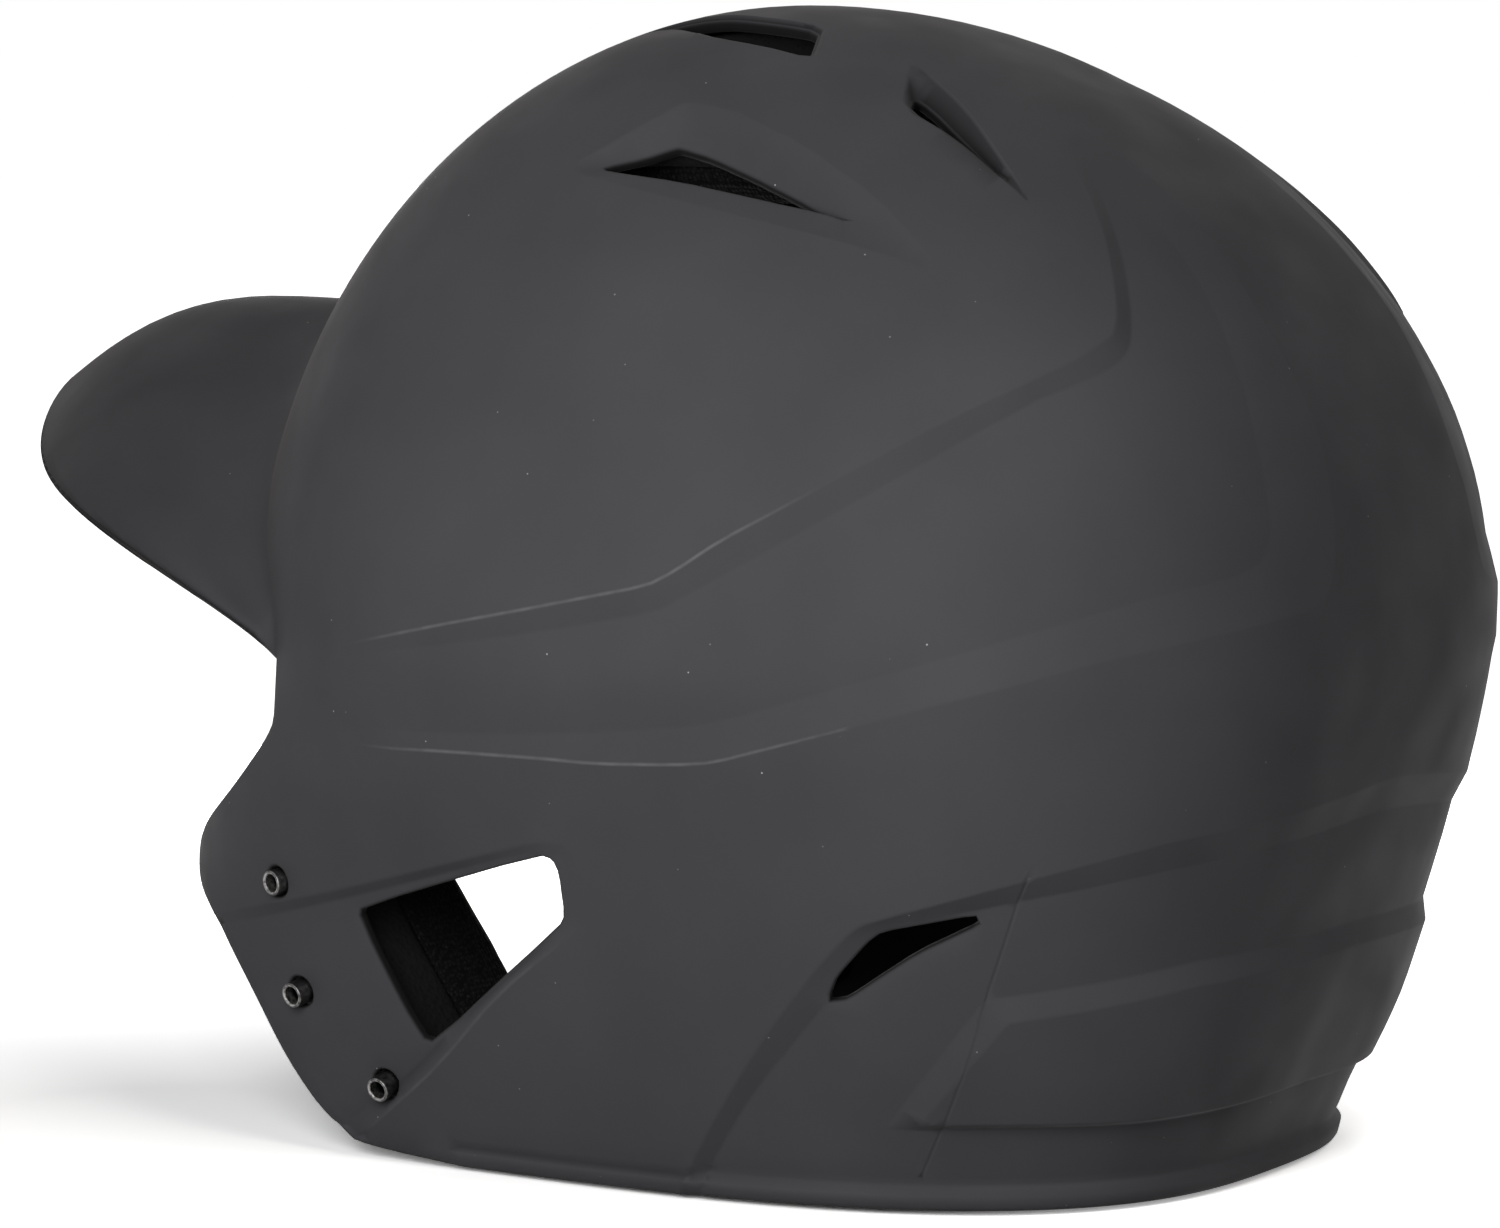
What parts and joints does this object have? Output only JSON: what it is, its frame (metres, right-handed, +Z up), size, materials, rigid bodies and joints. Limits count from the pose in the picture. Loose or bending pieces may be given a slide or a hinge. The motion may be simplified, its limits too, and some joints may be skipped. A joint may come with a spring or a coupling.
{
  "type": "batting helmet",
  "caption": "Matte batting helmet with a curved bill, two ear flaps with ear holes, scooped crown vents, face-guard tee-nuts and a padded liner.",
  "frame": {"origin": "on the table plane, below the middle of the overall box", "axes": "+Z up, +X to the wearer's left, +Y to the back, bill towards -Y"},
  "size_m": [0.211, 0.3074, 0.223],
  "materials": {
    "shell": "soft-touch matte",
    "nut": "blackened steel",
    "foam": "closed-cell foam",
    "fabric": "knitted lining"
  },
  "bodies": {
    "root": {"shell": "shell", "left_guard_nuts": "nut", "right_guard_nuts": "nut", "brow_base": "foam", "brow_comfort": "fabric", "crown_base": "foam", "crown_comfort": "fabric", "occiput_base": "foam", "occiput_comfort": "fabric", "back_base": "foam", "back_comfort": "fabric", "left_side_base": "foam", "left_side_comfort": "fabric", "right_side_base": "foam", "right_side_comfort": "fabric", "left_ridge_base": "foam", "left_ridge_comfort": "fabric", "right_ridge_base": "foam", "right_ridge_comfort": "fabric", "left_temple_base": "foam", "left_temple_comfort": "fabric", "right_temple_base": "foam", "right_temple_comfort": "fabric", "left_flank_base": "foam", "left_flank_comfort": "fabric", "right_flank_base": "foam", "right_flank_comfort": "fabric", "left_ear_base": "foam", "left_ear_comfort": "fabric", "right_ear_base": "foam", "right_ear_comfort": "fabric", "left_nape_base": "foam", "left_nape_comfort": "fabric", "right_nape_base": "foam", "right_nape_comfort": "fabric", "left_jaw_base": "foam", "left_jaw_comfort": "fabric", "right_jaw_base": "foam", "right_jaw_comfort": "fabric"}
  },
  "joints": []
}
